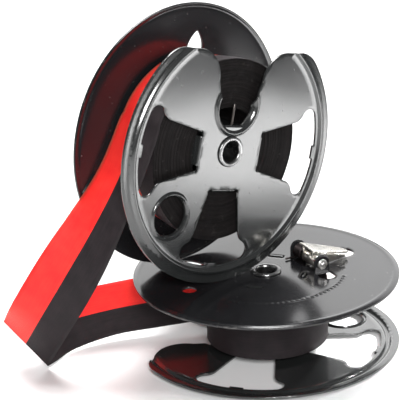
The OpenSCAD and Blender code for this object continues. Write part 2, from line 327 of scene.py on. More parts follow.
def smoothstep(t):
    t = np.clip(t, 0, 1)
    return t * t * (3 - 2 * t)


def lathe(profile, segments=96, closed=True):
    """Turns (r, z) points about Z."""
    profile = np.asarray(profile, float)
    n = len(profile)
    a = np.linspace(0, 2 * math.pi, segments, endpoint=False)
    v = np.array([[r * math.cos(t), r * math.sin(t), z] for t in a for r, z in profile])
    last = n if closed else n - 1
    faces = []
    for i in range(segments):
        j = (i + 1) % segments
        for k in range(last):
            m = (k + 1) % n
            faces.append([i * n + k, j * n + k, j * n + m, i * n + m])
    return v, faces


def skinned(rings, sides):
    """Faces between rings of sides points each, and a cap on both ends."""
    faces = []
    for i in range(rings - 1):
        for k in range(sides):
            here, there = i * sides, (i + 1) * sides
            m = (k + 1) % sides
            faces.append([here + k, here + m, there + m, there + k])
    return faces + [list(range(sides))[::-1], [(rings - 1) * sides + k for k in range(sides)]]


def tube(path, radius, sides=12, ends=True):
    """A round wire along path, with domed ends."""
    path = np.asarray(path, float)
    radius = np.full(len(path), float(radius))
    if ends:
        r = radius[0]
        first, last = path[0] - path[1], path[-1] - path[-2]
        first, last = first / np.linalg.norm(first), last / np.linalg.norm(last)
        start = [path[0] + first * r * 0.45, path[0] + first * r * 0.3]
        end = [path[-1] + last * r * 0.3, path[-1] + last * r * 0.45]
        path = np.vstack([start, path, end])
        radius = np.concatenate([[r * 0.45, r * 0.85], radius, [r * 0.85, r * 0.45]])
    d = np.gradient(path, axis=0)
    d /= np.linalg.norm(d, axis=1, keepdims=True)
    ref = np.array([0.0, 0.0, 1.0]) if abs(d[0][2]) < 0.8 else np.array([1.0, 0.0, 0.0])
    verts = []
    u = np.cross(d[0], ref)
    for p, t, r in zip(path, d, radius):
        u = u - t * np.dot(u, t)
        u /= np.linalg.norm(u)
        w = np.cross(t, u)
        for k in range(sides):
            a = 2 * math.pi * k / sides
            verts.append(p + r * (math.cos(a) * u + math.sin(a) * w))
    n = len(path)
    return np.array(verts), skinned(n, sides)


def rounded_box(lo, hi, r):
    """A box with rounded edges, as a plate with a rectangular outline lying in XY."""
    lo, hi = np.array(lo, float), np.array(hi, float)
    x0, x1, y0, y1 = lo[0] + r, hi[0] - r, lo[1] + r, hi[1] - r
    corners = [((x1, y1), 0), ((x0, y1), 90), ((x0, y0), 180), ((x1, y0), 270)]
    outline = np.vstack([arc(c, r, a, a + 90, 4) for c, a in corners])
    spacing = 1.2
    nx = max(2, int((hi[0] - lo[0]) / spacing))
    ny = max(2, int((hi[1] - lo[1]) / spacing))
    gx, gy = np.meshgrid(np.linspace(lo[0], hi[0], nx + 2)[1:-1], np.linspace(lo[1], hi[1], ny + 2)[1:-1])
    inner = np.stack([gx.ravel(), gy.ravel()], 1)
    v, f, _ = plate(outline, [], flat_at(hi[2]), hi[2] - lo[2], inner, edge=r * 0.8, step=0.4)
    return v, f


# ---- Materials ----

def new_material(name):
    mat = bpy.data.materials.new(name)
    mat.use_nodes = True
    tree = mat.node_tree
    return mat, tree, tree.nodes["Principled BSDF"]


def add(tree, kind, **values):
    node = tree.nodes.new(kind)
    for key, value in values.items():
        setattr(node, key, value)
    return node


def noise(tree, coords, scale, detail=4.0, rough=0.55, stretch=(1, 1, 1)):
    """Noise whose scale is in waves per unit of coords, stretched along its axes."""
    mapping = add(tree, "ShaderNodeMapping")
    mapping.inputs["Scale"].default_value = stretch
    tree.links.new(coords, mapping.inputs["Vector"])
    node = add(tree, "ShaderNodeTexNoise")
    node.inputs["Scale"].default_value = scale
    node.inputs["Detail"].default_value = detail
    node.inputs["Roughness"].default_value = rough
    tree.links.new(mapping.outputs["Vector"], node.inputs["Vector"])
    return node.outputs["Fac"]


def ramp(tree, value, low, high, out_low=0.0, out_high=1.0):
    """value, brought from low..high to out_low..out_high."""
    node = add(tree, "ShaderNodeMapRange")
    node.inputs["From Min"].default_value = low
    node.inputs["From Max"].default_value = high
    node.inputs["To Min"].default_value = out_low
    node.inputs["To Max"].default_value = out_high
    tree.links.new(value, node.inputs["Value"])
    return node.outputs["Result"]


def math_node(tree, operation, a, b):
    node = add(tree, "ShaderNodeMath", operation=operation)
    for slot, value in zip(node.inputs, (a, b)):
        if isinstance(value, (int, float)):
            slot.default_value = value
        else:
            tree.links.new(value, slot)
    return node.outputs[0]


def mix_color(tree, factor, a, b):
    node = add(tree, "ShaderNodeMix", data_type="RGBA")
    tree.links.new(factor, node.inputs["Factor"])
    for slot, value in ((node.inputs[6], a), (node.inputs[7], b)):
        if isinstance(value, tuple):
            slot.default_value = (*value, 1)
        else:
            tree.links.new(value, slot)
    return node.outputs[2]


def bump(tree, shader, height, strength, distance):
    node = add(tree, "ShaderNodeBump")
    node.inputs["Strength"].default_value = strength
    node.inputs["Distance"].default_value = distance
    tree.links.new(height, node.inputs["Height"])
    tree.links.new(node.outputs["Normal"], shader.inputs["Normal"])


def object_coords(tree):
    return add(tree, "ShaderNodeTexCoord").outputs["Object"]


def enamel(name, color, worn, rough, ior, coat):
    """Glossy lacquer on sheet metal: smudges, hairline scratches, dust, and wear along the cut edges."""
    mat, tree, shader = new_material(name)
    at = object_coords(tree)
    smudge = noise(tree, at, scale=90, detail=5)
    fine = noise(tree, at, scale=700, detail=3)
    hair = noise(tree, at, scale=420, detail=3)
    specks = noise(tree, at, scale=1500, detail=1)
    chips = noise(tree, at, scale=450, detail=4)
    edge = add(tree, "ShaderNodeAttribute", attribute_name="edge").outputs["Fac"]
    wear = math_node(tree, "MULTIPLY", ramp(tree, edge, 0.5, 1.0), ramp(tree, chips, 0.56, 0.70, 0, 0.6))
    dust = math_node(tree, "MULTIPLY", ramp(tree, specks, 0.74, 0.78), 0.25)

    tone = mix_color(tree, ramp(tree, smudge, 0.35, 0.7), color, tuple(1.35 * c for c in color))
    tone = mix_color(tree, wear, tone, worn)
    tone = mix_color(tree, dust, tone, (0.30, 0.29, 0.27))
    tree.links.new(tone, shader.inputs["Base Color"])
    tree.links.new(math_node(tree, "MULTIPLY", wear, 0.7), shader.inputs["Metallic"])

    base = ramp(tree, smudge, 0.3, 0.75, rough, rough + 0.06)
    scratched = math_node(tree, "ADD", base, ramp(tree, hair, 0.6, 0.72, 0, 0.05))
    rubbed = math_node(tree, "ADD", scratched, math_node(tree, "MULTIPLY", wear, 0.2))
    tree.links.new(rubbed, shader.inputs["Roughness"])
    shader.inputs["IOR"].default_value = ior
    shader.inputs["Coat Weight"].default_value = coat
    shader.inputs["Coat Roughness"].default_value = 0.12
    bump(tree, shader, math_node(tree, "ADD", fine, hair), strength=0.025, distance=0.00003)
    return mat


def metal(name, color, dark, rough, grain=(1, 1, 1)):
    """Bare or plated metal with tarnish in patches and a fine drawn grain."""
    mat, tree, shader = new_material(name)
    at = object_coords(tree)
    patch = noise(tree, at, scale=160, detail=5)
    fine = noise(tree, at, scale=1800, detail=3, stretch=grain)
    tone = mix_color(tree, ramp(tree, patch, 0.42, 0.68), color, dark)
    tree.links.new(tone, shader.inputs["Base Color"])
    shader.inputs["Metallic"].default_value = 1.0
    tree.links.new(ramp(tree, patch, 0.3, 0.75, rough, rough + 0.22), shader.inputs["Roughness"])
    bump(tree, shader, fine, strength=0.12, distance=0.00005)
    return mat


THREAD_PITCH = 0.16


def woven(name, color, light, rough, sheen_tint, sheen, gloss):
    """Inked woven ribbon: a fine plain weave along the ribbon's own coordinates, with blotches of ink."""
    mat, tree, shader = new_material(name)
    at = add(tree, "ShaderNodeAttribute", attribute_name="ribbon_mm").outputs["Vector"]
    split = add(tree, "ShaderNodeSeparateXYZ")
    tree.links.new(at, split.inputs[0])
    threads = 2 * math.pi / THREAD_PITCH
    warp = math_node(tree, "SINE", math_node(tree, "MULTIPLY", split.outputs["Y"], threads), 0)
    weft = math_node(tree, "SINE", math_node(tree, "MULTIPLY", split.outputs["X"], threads), 0)
    weave = math_node(tree, "MULTIPLY", warp, weft)
    ink = math_node(tree, "MULTIPLY", noise(tree, at, scale=0.35, detail=5), 0.6)
    streak = math_node(tree, "MULTIPLY", noise(tree, at, scale=1.2, detail=3, stretch=(0.15, 3, 1)), 0.4)
    mottle = math_node(tree, "ADD", ink, streak)
    tone = mix_color(tree, ramp(tree, mottle, 0.35, 0.68), color, light)
    tone = mix_color(tree, ramp(tree, weave, -1, 1, 0.0, 0.18), tone, tuple(0.6 * c for c in color))
    tree.links.new(tone, shader.inputs["Base Color"])
    tree.links.new(ramp(tree, mottle, 0.3, 0.7, rough, rough + 0.15), shader.inputs["Roughness"])
    shader.inputs["Specular IOR Level"].default_value = gloss
    shader.inputs["Sheen Weight"].default_value = sheen
    shader.inputs["Sheen Roughness"].default_value = 0.4
    shader.inputs["Sheen Tint"].default_value = (*sheen_tint, 1)
    bump(tree, shader, weave, strength=0.25, distance=0.00004)
    return mat


def pack_edge(name):
    """The wound ribbon's edges: dark layered turns, each a little different in tone, with painted shade in
    the sunk grooves between turns and pale lint here and there.
    """
    mat, tree, shader = new_material(name)
    at = object_coords(tree)
    # The turn attribute holds each turn's random tone times the painted shade of its sunk edges and of the
    # winding's inside face.
    shade = add(tree, "ShaderNodeAttribute", attribute_name="turn_tone_and_painted_shade").outputs["Fac"]
    lint = ramp(tree, noise(tree, at, scale=900, detail=2), 0.66, 0.74)
    tone = mix_color(tree, shade, (0.003, 0.0025, 0.0025), (0.016, 0.013, 0.013))
    tone = mix_color(tree, math_node(tree, "MULTIPLY", lint, 0.3), tone, (0.06, 0.055, 0.05))
    tree.links.new(tone, shader.inputs["Base Color"])
    rough = ramp(tree, noise(tree, at, scale=400, detail=3), 0.3, 0.7, 0.6, 0.8)
    tree.links.new(rough, shader.inputs["Roughness"])
    shader.inputs["Specular IOR Level"].default_value = 0.15
    bump(tree, shader, noise(tree, at, scale=2200, detail=2), strength=0.3, distance=0.00004)
    return mat


ENAMEL = enamel("black_enamel", (0.010, 0.010, 0.011), (0.22, 0.21, 0.20),
                rough=0.15, ior=1.46, coat=0.25)
GUNMETAL = enamel("gunmetal_enamel", (0.014, 0.015, 0.015), (0.28, 0.28, 0.27),
                  rough=0.16, ior=1.75, coat=0.6)
NICKEL = metal("worn_nickel", (0.86, 0.84, 0.79), (0.50, 0.46, 0.40), rough=0.18, grain=(1, 6, 1))
PIN_STEEL = metal("pin_steel", (0.62, 0.61, 0.60), (0.30, 0.28, 0.26), rough=0.22)
BLUED = metal("blued_spring", (0.075, 0.06, 0.06), (0.03, 0.025, 0.025), rough=0.28)
EYELET_STEEL = metal("eyelet_steel", (0.30, 0.30, 0.30), (0.12, 0.12, 0.12), rough=0.2)
HOOK_WIRE = metal("hook_wire", (0.10, 0.09, 0.085), (0.05, 0.045, 0.04), rough=0.25)
RED = woven("ribbon_red", (0.86, 0.010, 0.012), (0.98, 0.035, 0.025),
            rough=0.5, sheen_tint=(1.0, 0.45, 0.25), sheen=0.25, gloss=0.3)
BLACK = woven("ribbon_black", (0.009, 0.007, 0.008), (0.024, 0.018, 0.020),
              rough=0.55, sheen_tint=(0.75, 0.65, 0.68), sheen=0.06, gloss=0.2)
PACK_EDGE = pack_edge("pack_edge")


# ---- Openwork flange ----

WINDOW_LEAN = 14.3
WINDOW_OUT_R = 23.3


def window_loop():
    """A window along +X: straight sides, inside fillets, rounded outer corners and an outer arc with a nib.
    The fillet's centre lies where it touches both the leaning side and the corner's circle."""
    corner_r, fillet_r = 1.8, 2.6
    corner = np.array([20.3, 7.1])
    nib_reach, nib_half = 22.7, 1.4
    root = HUB_REACH - 0.45
    side = polar(1, WINDOW_LEAN)
    out = np.array([-side[1], side[0]])
    start = np.array([HUB_REACH, 3.9])
    lead = start + fillet_r * out - corner
    b = lead @ side
    run = -b - math.sqrt(b * b - lead @ lead + (fillet_r + corner_r) ** 2)
    centre = start + run * side + fillet_r * out
    to = corner - centre
    end = math.degrees(math.atan2(to[1], to[0]))
    corner_dir = math.degrees(math.atan2(corner[1], corner[0]))
    nib = math.degrees(math.asin(nib_half / WINDOW_OUT_R))
    half = np.vstack([
        [[root, 0.0], [root, 3.3]],
        arc((root + 0.55, 3.6), 0.55, 200, 80, 5),
        [start],
        arc(centre, fillet_r, WINDOW_LEAN - 90, end, 10),
        arc(corner, corner_r, end + 180, corner_dir, 14),
        arc((0, 0), WINDOW_OUT_R, corner_dir, nib, 12),
        [[nib_reach, nib_half], [nib_reach, 0.0]]])
    return mirrored(half)[:-1]


def rotated(loop, degrees):
    a = math.radians(degrees)
    return np.asarray(loop) @ np.array([[math.cos(a), math.sin(a)], [-math.sin(a), math.cos(a)]])


def open_outline():
    """The rim's circle with the notch and the two lobes beside it."""
    lobe, lobe_r, join = np.array([14.2, 11.8]), 6.0, 47.0
    second = polar(FLANGE_R - lobe_r, join)
    lean = math.degrees(math.atan2(second[0] - lobe[0], second[1] - lobe[1]))
    half = np.vstack([
        arc((NOTCH_C, 0), NOTCH_R, 180, 84, 20),
        arc(lobe, lobe_r, -90, -lean, 20),
        arc(second, lobe_r, -lean, join, 12),
        arc((0, 0), FLANGE_R, join, 180, 60)])
    return mirrored(half)


def ridge(distance, centre, half, tall):
    """A smooth ridge of height tall, half wide to each side of centre."""
    t = np.clip(np.abs(distance - centre) / half, 0, 1)
    return tall * (0.5 + 0.5 * np.cos(math.pi * t))


def waves(p, seed):
    """The slight unevenness of pressed sheet."""
    tall = 0.012
    a = np.random.default_rng(seed).uniform(0, 6.28, 4)
    x, y = p[:, 0], p[:, 1]
    straight = np.sin(x / 3.9 + a[0]) * np.sin(y / 4.6 + a[1])
    slanting = np.sin((x + y) / 6.1 + a[2]) * np.sin((x - y) / 7.3 + a[3])
    return tall * (straight + 0.8 * slanting)


COLLAR_AT = polar(HOLE_REACH, LEVER_DIR)
NOTCH_AT = (NOTCH_C, 0)


def open_height(p):
    """Outer face of the openwork flange, which looks down its axis: smaller is further out."""
    r = np.hypot(p[:, 0], p[:, 1])
    z = np.full(len(p), OPEN_Z) - ridge(r, BEAD_R, BEAD_HALF, BEAD_H - 0.02)
    z += 0.2 * smoothstep((r - BEAD_R - 0.5) / 0.5)

    # The notch has a rounded lip, which fades out towards its mouth.
    from_notch = p - NOTCH_AT
    d = np.hypot(from_notch[:, 0], from_notch[:, 1])
    mouth = np.degrees(np.abs(np.arctan2(from_notch[:, 1], from_notch[:, 0])))
    fade = smoothstep((mouth - 48) / 22)
    z -= fade * ridge(d, NOTCH_R + 1.05, 0.75, 0.38)
    z += fade * 0.5 * smoothstep((NOTCH_R + 0.5 - d) / 0.5)

    # The hole has a collar that dips back at its edge.
    hole = np.hypot(p[:, 0] - COLLAR_AT[0], p[:, 1] - COLLAR_AT[1])
    z -= ridge(hole, COLLAR_R + 0.42, 0.55, 0.36)
    z += 0.3 * smoothstep((COLLAR_R + 0.2 - hole) / 0.2)
    return z + waves(p, 3) * smoothstep((BEAD_R - 1 - r) / 3)


def tab_part(out):
    """A hub tab: a strip bent up from the flange, with a tongue through the solid flange."""
    bend, foot, gap, half, shrink = 0.45, 1.1, 0.02, TAB_W / 2, 0.036
    inner = out - SHEET
    profile = np.vstack([
        [[out - foot, OPEN_Z + 0.03], [out - bend, OPEN_Z + 0.01]],
        arc((out - bend, OPEN_Z + bend), bend, -90, 0, 6) + [0, 0.01],
        [[out, SOLID_IN_Z - gap], [inner, SOLID_IN_Z - gap]],
        [[inner, OPEN_IN_Z + gap], [out - foot, OPEN_IN_Z - 0.03]]])
    middle = np.linspace(-half + 0.6, half - 0.6, 5)
    across = np.concatenate([[-half, -half + 0.1], middle, [half - 0.1, half]])
    mid = profile.mean(0)
    verts = []
    for i, y in enumerate(across):
        drawn_in = 0.0 if 0 < i < len(across) - 1 else shrink
        for x, z in profile:
            verts.append([x - drawn_in * np.sign(x - mid[0]), y, z])
    strip = (np.array(verts), skinned(len(across), len(profile)))
    low, high = [inner, -TONGUE_W / 2, SOLID_IN_Z - 0.3], [out, TONGUE_W / 2, SPOOL_H + 0.12]
    return joined([strip, rounded_box(low, high, 0.1)])


def open_flange(spool):
    holes = [rotated(window_loop(), a) for a in WINDOW_TURNS]
    holes += [circle((0, 0), EYELET_R - EYELET_FIT, 64), circle(COLLAR_AT, COLLAR_R, 80)]
    bead = BEAD_R + BEAD_HALF * np.array([-1, -0.8, -0.6, -0.4, -0.2, 0, 0.2, 0.4, 0.6, 0.8, 1])
    inner = [
        ring_points(np.arange(3.2, 23.4, 0.75), 0.8),
        ring_points(bead, 0.45),
        ring_points([25.65, 25.9, 26.3, 26.6], 0.6),
        ring_points(NOTCH_R + np.arange(0.15, 2.1, 0.15), 0.35) + np.array(NOTCH_AT),
        ring_points(COLLAR_R + np.arange(0.1, 1.2, 0.12), 0.35) + COLLAR_AT]
    v, f, near = plate(open_outline(), holes, open_height, SHEET, np.vstack(inner), up=-1)
    tabs = [tab_part(NOTCH_REACH)] + [moved(tab_part(HUB_REACH), turn("Z", a)) for a in WINDOW_TURNS]
    tv, tf = joined(tabs)
    verts, faces = joined([(v, f), (tv, tf)])
    edge = np.concatenate([near, np.zeros(len(tv))])
    return add_piece(f"{spool}_openwork", verts, faces, PLACES[spool], GUNMETAL, extra={"edge": edge})


# ---- Solid flange ----

DIMPLE_REACH = 16.0
DIMPLE_R = 0.5
DIMPLE_FIRST = 82
DIMPLE_PITCH = 3.9
DIMPLE_COUNT = 27
DIMPLES = [polar(DIMPLE_REACH, DIMPLE_FIRST + DIMPLE_PITCH * i) for i in range(DIMPLE_COUNT)]


def leaf_loop():
    """The pointed window along +X: two arcs that meet at its root and its tip."""
    root, tip, half = 12.5, 21.3, 2.1
    big = ((tip - root) ** 2 / 4 + half * half) / (2 * half)
    reach = math.degrees(math.asin((tip - root) / 2 / big))
    mid = (root + tip) / 2
    above = arc((mid, half - big), big, 90 + reach, 90 - reach, 16)
    below = arc((mid, big - half), big, 270 + reach, 270 - reach, 16)
    return np.vstack([above, below])


def ear_loop(length, w=3.4):
    """A round-ended strip lying along -Y from the origin."""
    straight, r = length - w / 2, w / 2
    return np.vstack([[[-r, 0], [-r, -straight]], arc((0, -straight), r, 180, 360, 18), [[r, 0]]])


def slot_loop(out):
    """The slot that a hub tab's tongue comes through."""
    wide, half = 1.2, 1.65
    x0 = out - (SHEET + wide) / 2
    x1 = x0 + wide
    return np.array([[x0, -half], [x1, -half], [x1, half], [x0, half]])


def solid_height(p):
    """Outer face of the solid flange: a rim that turns down past a slight rise, and an arc of dimples."""
    r = np.hypot(p[:, 0], p[:, 1])
    z = np.full(len(p), SPOOL_H) - 0.14 * smoothstep((r - 26.3) / 0.6)
    z += 0.07 * ridge(r, 26.0, 0.5, 1.0)
    for c in DIMPLES:
        d = np.hypot(p[:, 0] - c[0], p[:, 1] - c[1])
        z += ridge(d, 0, DIMPLE_R, 0.16)
    return z + waves(p, 5) * smoothstep((25 - r) / 3)


def ear_part(y):
    """An ear bent up from the flange, with the pin's hole."""
    foot = 0.3
    hole = circle((0, -(PIN_Z - SPOOL_H + foot)), 0.62, 24)
    inner = grid_points(-1.4, 1.4, 8, -3.8, -0.2, 9)
    v, f, _ = plate(ear_loop(4.0), [hole], flat_at(0), SHEET, inner)
    v = np.stack([v[:, 0] + PIN_REACH, v[:, 2] + y + SHEET / 2, SPOOL_H - foot - v[:, 1]], 1)
    return v, [face[::-1] for face in f]


def solid_flange(spool):
    """The flange with its holes, its two ears and the cuts that the ears were bent up from."""
    holes = [
        circle((0, 0), EYELET_R - EYELET_FIT, 64), circle(polar(HOLE_REACH, LEVER_DIR), LEVER_HOLE_R, 48),
        circle(polar(DRIVE_REACH, DRIVE_DIR), DRIVE_R, 40), leaf_loop(), slot_loop(NOTCH_REACH)]
    holes += [rotated(slot_loop(HUB_REACH), a) for a in WINDOW_TURNS]
    for y, length in zip(EARS, (3.6, EARS[1] + 2.1)):
        holes.append(rotated(ear_loop(length) + [PIN_REACH, y - SHEET / 2], LEVER_DIR))
    rim = [25.4, 25.6, 25.8, 26.0, 26.2, 26.35, 26.5, 26.65, 26.8]
    inner = [ring_points(np.arange(3.2, 25.3, 0.85), 0.9), ring_points(rim, 0.6)]
    for c in DIMPLES:
        inner.append(np.vstack([[[0, 0]], ring_points([0.17, 0.34, 0.52], 0.25)]) + c)
    v, f, near = plate(circle((0, 0), FLANGE_R, 360), holes, solid_height, SHEET, np.vstack(inner), up=1)
    ev, ef = joined([moved(ear_part(y), TO_LEVER) for y in EARS])
    verts, faces = joined([(v, f), (ev, ef)])
    edge = np.concatenate([near, np.zeros(len(ev))])
    return add_piece(f"{spool}_disc", verts, faces, PLACES[spool], ENAMEL, extra={"edge": edge})


# ---- Small hardware ----

def on_pin(v):
    """A part drawn about Z, laid along the lever's pin."""
    return np.stack([v[:, 0] + PIN_REACH, v[:, 2], v[:, 1] + PIN_Z], 1)


def eyelet(spool):
    """A tube with both ends rolled over."""
    flare, low, high = 3.1, OPEN_Z, SPOOL_H
    roll, lip = EYELET_R - BORE_R, 0.2
    profile = np.vstack([
        [[BORE_R, low + 0.6], [BORE_R, high - 0.6]],
        arc((EYELET_R, high), roll, 180, 90, 6),
        arc((flare - lip, high + 0.22), lip, 80, -80, 6),
        [[EYELET_R, high + EYELET_FIT], [EYELET_R, low - EYELET_FIT]],
        arc((flare - lip, low - 0.22), lip, 80, -80, 6),
        arc((EYELET_R, low), roll, 270, 180, 6)])
    v, f = lathe(profile, 80)
    return add_piece(f"{spool}_rolled_eyelet", v, [face[::-1] for face in f], PLACES[spool], EYELET_STEEL)


def hook(spool):
    """A wire that stands against the notch's tab and runs out along the flange."""
    wire_r = 0.3
    x, z = NOTCH_REACH - SHEET - 0.4, OPEN_IN_Z + 0.45
    stem = [[x, 0, z + 1.3], [x, 0, z + 0.5], [x + 0.12, 0, z + 0.15]]
    foot = [[x + 0.45, 0, z], [x + 2, 0, z], [x + 3.6, 0, z + 0.03], [x + 4.9, 0, z]]
    v, f = tube(stem + foot, wire_r, 14)
    return add_piece(f"{spool}_wire_hook", v, f, PLACES[spool], HOOK_WIRE, 60)


ARM_MID = -1.6
ARM_SLOPE = 17
ARM_T = 0.45
CHEEK_T = 0.4


def lever_arm():
    """The sloping arm, slightly crowned, narrower at its round tip."""
    length, tip, corner, shoulder, back = 9.2, 1.3, 0.4, 2.4, -0.7
    outline = np.vstack([
        arc((back, ARM_MID - 2.6), corner, 180, 270, 4),
        [[shoulder, ARM_MID - 2.7], [length - tip, ARM_MID - tip]],
        arc((length - tip, ARM_MID), tip, -90, 90, 16),
        [[shoulder, ARM_MID + 2.4]],
        arc((back, ARM_MID + 2.3), corner, 90, 180, 4)])
    inner = grid_points(-0.9, 8.9, 26, -4.4, 1.2, 15)

    def crown(xy):
        return 0.10 * np.cos((xy[:, 1] - ARM_MID) / 2.6)

    v, f, near = plate(outline, [], crown, ARM_T, inner, edge=0.16, step=0.35)
    root = Matrix.Translation((PIN_REACH, 0, PIN_Z + 1.7)) @ turn("Y", ARM_SLOPE)
    return moved((v + [0, 0, ARM_T - 0.08], f), root), near


def lever_cheek(y, length):
    """A side wall under the arm."""
    loop = np.array([[-1.1, -0.9], [1.2, -1.2], [length, -0.6], [length, 1.87 - 0.3 * length], [-1.1, 2.2]])
    inner = grid_points(-0.9, 6.4, 14, -1, 1.8, 7)
    v, f, near = plate(loop, [], flat_at(0), CHEEK_T, inner, edge=0.1, step=0.35)
    return (on_pin(v) + [0, y + CHEEK_T, 0], [face[::-1] for face in f]), near


def lever_barrel():
    """The rolled barrel that runs on the pin."""
    hole_r, out_r, chamfer = 0.6, 1.3, 0.12
    y0, y1 = EARS[0] + SHEET / 2 + 0.15, -0.4
    profile = [
        [hole_r, y0 + 0.1], [hole_r + chamfer, y0], [out_r - chamfer, y0], [out_r, y0 + chamfer],
        [out_r, y1 - chamfer], [out_r - chamfer, y1], [hole_r + chamfer, y1], [hole_r, y1 - 0.1]]
    v, f = lathe(profile, 48)
    return on_pin(v), f


def lever(spool):
    """The trip lever: a sloping arm with two side walls, a rolled barrel round the pin, and a toe."""
    toe = rounded_box([PIN_REACH - 0.45, -1.0, SOLID_IN_Z - 0.4], [PIN_REACH + 0.35, -0.4, PIN_Z - 0.4], 0.12)
    made = [lever_arm(), lever_cheek(-4.4, 6.8), lever_cheek(-0.9, 4.4)]
    made += [(part, np.zeros(len(part[0]))) for part in (lever_barrel(), toe)]
    v, f = joined([part for part, near in made])
    edge = np.concatenate([near for part, near in made])
    return add_piece(f"{spool}_lever_body", v, f, PLACES[spool] @ TO_LEVER, NICKEL, 45, {"edge": edge})


def pin(spool):
    """A rivet through both ears: a stepped head in front and a domed one behind."""
    front, back = EARS[0] - SHEET / 2, EARS[1] + SHEET / 2
    shank_r, head_r, axis_r = 0.55, 1.1, 0.001
    profile = [
        [axis_r, front - 0.62], [0.3, front - 0.58], [0.52, front - 0.46], [0.56, front - 0.34],
        [0.9, front - 0.3], [1.08, front - 0.14], [head_r, front], [shank_r, front + 0.01],
        [shank_r, back - 0.01], [head_r, back], [1.08, back + 0.2], [0.8, back + 0.33], [axis_r, back + 0.35]]
    v, f = lathe(profile, 40, closed=False)
    return add_piece(f"{spool}_rivet_pin", on_pin(v), f, PLACES[spool] @ TO_LEVER, PIN_STEEL, 50)


def spring(spool):
    """A torsion spring with one leg out along the flange."""
    wire_r, coil_r, turns, per_turn = 0.2, 1.36, 6.75, 24
    y0, y1 = 0.12, EARS[1] - SHEET / 2 - 0.42
    t = np.linspace(0, 1, int(turns * per_turn) + 1)
    a = np.radians(-90) - 2 * math.pi * turns * (1 - t)
    coil = np.stack([PIN_REACH + coil_r * np.cos(a), y0 + (y1 - y0) * t, PIN_Z + coil_r * np.sin(a)], 1)
    leg = np.array([[PIN_REACH - run, y1 + 0.03 * run, PIN_Z - coil_r] for run in (0.6, 1.6, 2.6, 3.2)])
    v, f = tube(np.vstack([coil, leg]), wire_r, 10)
    return add_piece(f"{spool}_coil_spring", v, f, PLACES[spool] @ TO_LEVER, BLUED, 60)


# ---- Wound ribbon ----

TURN_PITCH = 0.2
# One turn's edge: how far in from its start, how far sunk, and how light it is painted; the 0 at the sunk
# ends is painted shade in the grooves between turns.
TURN_EDGE = ((0.02, -0.07, 0.0), (0.05, 0.0, 0.6), (0.15, 0.0, 0.6), (0.18, -0.07, 0.0))
OUTSIDE_STEPS = 9


def taper(spool, z):
    """How much smaller the winding is at z, from the ribbon's middle: the red side was wound slacker."""
    return PACK_TAPER[spool] * smoothstep((z / RIBBON_W + 0.5))


def uneven(turns):
    """How proud each turn stands on each face, and how pale its edge is."""
    draws = np.random.default_rng(11)
    lift = draws.normal(0, 0.045, (2, turns + 2))
    slow = np.cumsum(draws.normal(0, 0.03, (2, turns + 2)), axis=1)
    slow -= np.linspace(0, 1, turns + 2) * slow[:, -1:]
    tone = draws.uniform(0, 1, turns + 2) ** 2
    return lift + slow, tone


def wound(spool):
    """Layered turns: every turn stands a little proud of its neighbours, and the winding is a spiral.
    A column is the winding's section at one angle: one face, the outside, the other face, the inside."""
    out_r, segments = PACK_R[spool], 180
    turns = int((out_r - PACK_IN_R) / TURN_PITCH)
    lift, tone = uneven(turns)
    half = RIBBON_W / 2 - 0.12
    columns, shade = [], []
    for i in range(segments):
        share = i / segments
        a = 2 * math.pi * share
        column = []
        for face in (0, 1):
            up = -1 if face == 0 else 1
            limit = out_r - 0.02 - (taper(spool, half) if face else 0)
            ring = TURN_EDGE if face == 0 else TURN_EDGE[::-1]
            for k in range(turns) if face == 0 else range(turns - 1, -1, -1):
                lifted = np.clip(lift[face, k] * (1 - share) + lift[face, k + 1] * share, -0.22, 0.12)
                pale = 0.3 + tone[k] * (1 - share) + tone[k + 1] * share
                for dr, dz, lit in ring:
                    r = min(PACK_IN_R + TURN_PITCH * (k + share) + dr, limit)
                    column.append((r * math.cos(a), r * math.sin(a), RIBBON_Z + up * (half + lifted + dz)))
                    # Each point's tone: the turn's random paleness times lit, which paints shade into the
                    # grooves between turns.
                    shade.append(lit * pale)
            if face == 0:
                for z in np.linspace(-half + 0.1, half - 0.1, OUTSIDE_STEPS):
                    r = out_r - taper(spool, z)
                    column.append((r * math.cos(a), r * math.sin(a), RIBBON_Z + z))
                    shade.append(0.5)
        # The winding's inside face, against the hub, gets a low value as painted shade.
        for z in np.linspace(half - 0.3, -half + 0.3, 3):
            column.append((PACK_IN_R * math.cos(a), PACK_IN_R * math.sin(a), RIBBON_Z + z))
            shade.append(0.2)
        columns.append(column)

    n = len(columns[0])
    side = len(TURN_EDGE) * turns
    verts, way, faces, mats = [], [], [], []
    for i in range(segments):
        verts += columns[i]
        way += [[i / segments * 2 * math.pi * out_r, c[2] - RIBBON_Z, 0] for c in columns[i]]
        j = (i + 1) % segments
        for k in range(n):
            m = (k + 1) % n
            faces.append([j * n + k, j * n + m, i * n + m, i * n + k])
            outer = side - 1 <= k < side + OUTSIDE_STEPS
            mats.append(0 if not outer else (2 if k >= side + RED_FROM[spool] else 1))
    name, materials = f"{spool}_wound_ribbon", [PACK_EDGE, BLACK, RED]
    extra = {"turn_tone_and_painted_shade": np.clip(shade, 0, 1), "ribbon_mm": way}
    obj = add_piece(name, verts, faces, PLACES[spool], materials, 50, extra)
    obj.data.polygons.foreach_set("material_index", mats)
    return obj


# ---- Free ribbon: the same stations as the CAD, each a middle and a direction across ----

SPAN_CLEAR = 0.3
